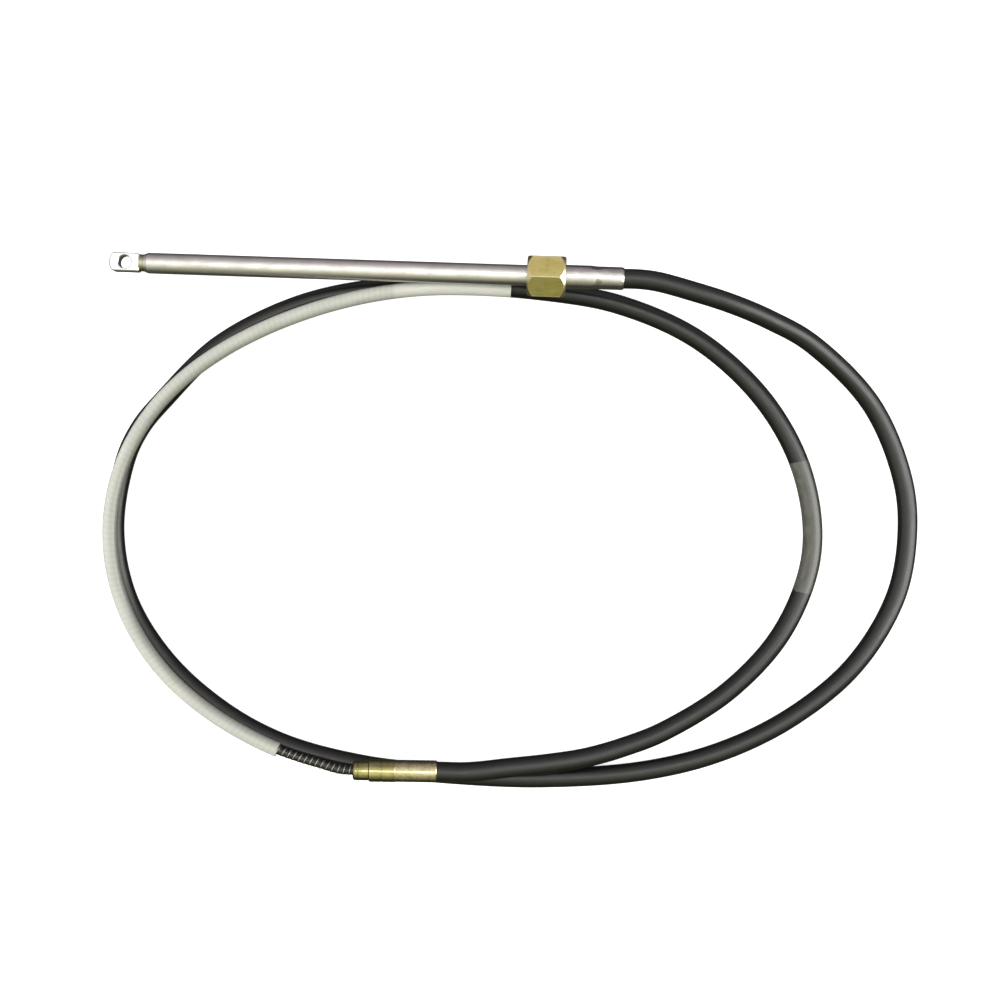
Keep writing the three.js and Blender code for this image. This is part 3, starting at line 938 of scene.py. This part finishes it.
def hexagon_nut_rings():
    """Rings round the nut, from its front bore over the outside to its rear lip and back along the thread."""
    sides = 6 * sides_per_flat
    columns = []
    for j in range(sides):
        angle = 2 * math.pi * j / sides
        from_middle = (angle + math.pi / 6) % (math.pi / 3) - math.pi / 6
        off_flat = math.pi / 6 - abs(from_middle)
        flat_radius = nut_flats / 2 / math.cos(math.pi / 6 - abs(off_flat))
        rim = nut_chamfer_slope * (flat_radius - nut_face_radius)
        column = [(0.0, thread_radius + 0.0006), (0.0, nut_face_radius - 0.00015), (0.0, nut_face_radius)]
        column += [(0.5 * rim, nut_face_radius + 0.5 * (flat_radius - nut_face_radius)), (rim, flat_radius)]
        column += [(x, flat_radius) for x in (rim + 0.00015, nut_length / 2, nut_length - rim - 0.00015)]
        column += [(nut_length - x, radius) for x, radius in reversed(column[1:5])]
        column += [(nut_length, lip_bore + 0.0004), (nut_length - 0.0004, lip_bore), (lip_front, lip_bore)]
        column += [(lip_front, thread_radius)]
        for i in range(1, thread_steps + 1):
            along = lip_front - (lip_front - 0.0006) * i / thread_steps
            phase = (along / thread_pitch - j / sides) % 1
            cut = min(1.0, along / 0.0016, (lip_front - along) / 0.0025)
            crest = max(0.0, 1 - abs(phase - 0.5) / 0.36)
            column.append((along, thread_radius - thread_depth * max(0.0, cut) * min(1.0, 1.25 * crest)))
        columns.append((angle, column))
    rings = []
    for k in range(len(columns[0][1])):
        ring = []
        for angle, column in columns:
            along, radius = column[k]
            ring.append(Vector((along, radius * math.cos(angle), radius * math.sin(angle))))
        rings.append(ring)
    return rings


def nut_brass():
    """Drawn brass, a little tarnished: scratches along the flats, and chamfers and corners painted paler, partly
    as wear and partly as a painted glint.
    """
    material, tree, surface = metal(
        "nut_brass", (0.50, 0.43, 0.14), (0.66, 0.58, 0.22), 0.28,
        lengthwise=1.0, round_about=0.15, spots=0.55)
    place = own_place(tree)
    scratches = grain(tree, place, (110, 1300, 1300), detail=6, roughness=0.75, offset=(2, 8, 5))
    plain = surface.inputs["Base Color"].links[0].from_socket
    scratched = between(tree, level(tree, scratches, 0.6, 0.78, 0.0, 0.5), plain, (0.80, 0.72, 0.38))
    apart = node(tree, "SeparateXYZ", {"Vector": place})
    around = maths(tree, "ARCTAN2", apart.outputs["Z"], apart.outputs["Y"])
    to_corner = maths(tree, "SUBTRACT", math.pi / 6, maths(tree, "PINGPONG", around, math.pi / 6))
    beyond_face = maths(tree, "SUBTRACT", out_from_middle(tree, apart), nut_face_radius)
    along = apart.outputs["X"]
    to_end = maths(tree, "MINIMUM", along, maths(tree, "SUBTRACT", nut_length, along))
    to_chamfer = maths(tree, "SUBTRACT", to_end, maths(tree, "MULTIPLY", beyond_face, nut_chamfer_slope))
    # The chamfers and the corners between the flats are painted paler: partly worn brass, partly a painted glint.
    corner_wear_and_glint = level(tree, to_corner, 0.012, 0.045, 1.0, 0.0)
    chamfer_wear_and_glint = level(tree, to_chamfer, 0.0001, 0.0004, 1.0, 0.0)
    wear_and_glint_patches = level(tree, scratches, 0.3, 0.6, 0.35, 0.9)
    worn_and_glinting = maths(tree, "MULTIPLY", maths(tree, "MAXIMUM", corner_wear_and_glint, chamfer_wear_and_glint), wear_and_glint_patches)
    tree.links.new(between(tree, worn_and_glinting, scratched, (0.88, 0.81, 0.52)), surface.inputs["Base Color"])
    return material


nut_place = ram_place @ Matrix.Rotation(math.radians(nut_turn), 4, "X")
nut = skin("coupling_nut_brass", hexagon_nut_rings(), joined=True, place=nut_place)
rounding = nut.modifiers.new("worn_edges", "BEVEL")
rounding.width = 0.00036
rounding.segments = 3
rounding.limit_method = "ANGLE"
rounding.angle_limit = math.radians(24)
rounding.harden_normals = True
nut.data.materials.append(nut_brass())
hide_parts("coupling_nut")
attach(nut, "nut")


# Floor and backdrop. A plain white sheet that curves up far away, with only a soft trace of shadow.
# It doesn't show in the metal, so the steel and brass keep their dark edges.
def white_sheet():
    material, tree, surface = start_finish("white_sheet")
    surface.inputs["Base Color"].default_value = (0.55, 0.55, 0.55, 1)
    surface.inputs["Roughness"].default_value = 1.0
    surface.inputs["Specular IOR Level"].default_value = 0.0
    surface.inputs["Emission Color"].default_value = (1, 1, 1, 1)
    surface.inputs["Emission Strength"].default_value = 0.8
    return material


flat_reach = 2.6
sheet_bend = 4.0
sheet_height = 40
bend_steps = 24
sheet_outline = [(0.0, 0.001), (0.0, flat_reach)]
for i in range(1, bend_steps + 1):
    bend = math.pi / 2 * i / bend_steps
    sheet_outline.append((sheet_bend * (1 - math.cos(bend)), flat_reach + sheet_bend * math.sin(bend)))
sheet_outline.append((sheet_height, flat_reach + sheet_bend))
floor = turned("white_sheet", sheet_outline, Matrix.Rotation(math.radians(-90), 4, "Y"), sides=96)
floor.data.materials.append(white_sheet())
floor.visible_diffuse = False
floor.visible_glossy = False
floor.visible_shadow = False


# Light. A wide soft light with a small bright middle hangs overhead, and a softbox on the right shows as
# the broad gloss on the casing. A soft fill from the left lights the sleeve. Near the floor it is dark.
world = bpy.data.worlds.new("studio")
bpy.context.scene.world = world
world.use_nodes = True
tree = world.node_tree
toward = node(tree, "TexCoord").outputs["Generated"]
height = node(tree, "SeparateXYZ", {"Vector": toward}).outputs["Z"]
depth = node(tree, "SeparateXYZ", {"Vector": toward}).outputs["Y"]


def lamp(direction, core, fade, colour):
    """Light from round one direction: full within the core angle, and gone at the fade angle."""
    closeness = node(tree, "VectorMath", {0: toward, 1: Vector(direction).normalized()}, operation="DOT_PRODUCT")
    strength = level(tree, closeness.outputs["Value"], math.cos(math.radians(fade)), math.cos(math.radians(core)))
    return between(tree, maths(tree, "POWER", strength, 1.3), (0, 0, 0), colour)


def added(first, second):
    return node(tree, "VectorMath", {0: first, 1: second}, operation="ADD").outputs["Vector"]


near_side = between(tree, level(tree, height, -0.1, 0.6), (0.07, 0.07, 0.05), (0.66, 0.66, 0.48))
far_side = between(tree, level(tree, height, -0.5, 0.45), (0.07, 0.065, 0.07), (0.62, 0.57, 0.60))
room = between(tree, level(tree, depth, -0.4, 0.4), near_side, far_side)
overhead = lamp((0.05, 0.0, 1), 20, 55, (1.2, 1.2, 1.18))
hot_middle = lamp((0.0, 0.03, 1), 3, 9, (6.5, 6.5, 6.4))
left_window = lamp((-0.8, -0.05, 0.6), 14, 40, (0.6, 0.6, 0.59))
lamps = added(added(overhead, hot_middle), left_window)
tree.links.new(added(room, lamps), tree.nodes["Background"].inputs["Color"])

softbox_data = bpy.data.lights.new("right_softbox", "AREA")
softbox_data.shape = "RECTANGLE"
softbox_data.size = 1.2
softbox_data.size_y = 1.6
softbox_radiance = 6.5
softbox_data.energy = softbox_radiance * math.pi * softbox_data.size * softbox_data.size_y
softbox = bpy.data.objects.new("right_softbox", softbox_data)
softbox.location = (1.3, -0.05, 0.85)
softbox.rotation_euler = softbox.location.to_track_quat("Z", "Y").to_euler()
softbox.visible_diffuse = False
bpy.context.collection.objects.link(softbox)

fill_data = bpy.data.lights.new("left_fill", "SUN")
fill_data.energy = 3.6
fill_data.color = (1.0, 0.97, 1.03)
fill_data.angle = math.radians(60)
fill = bpy.data.objects.new("left_fill", fill_data)
fill.rotation_euler = Vector((-0.92, -0.1, 0.42)).to_track_quat("Z", "Y").to_euler()
fill.visible_glossy = False
bpy.context.collection.objects.link(fill)

bpy.context.scene.view_settings.view_transform = "Standard"
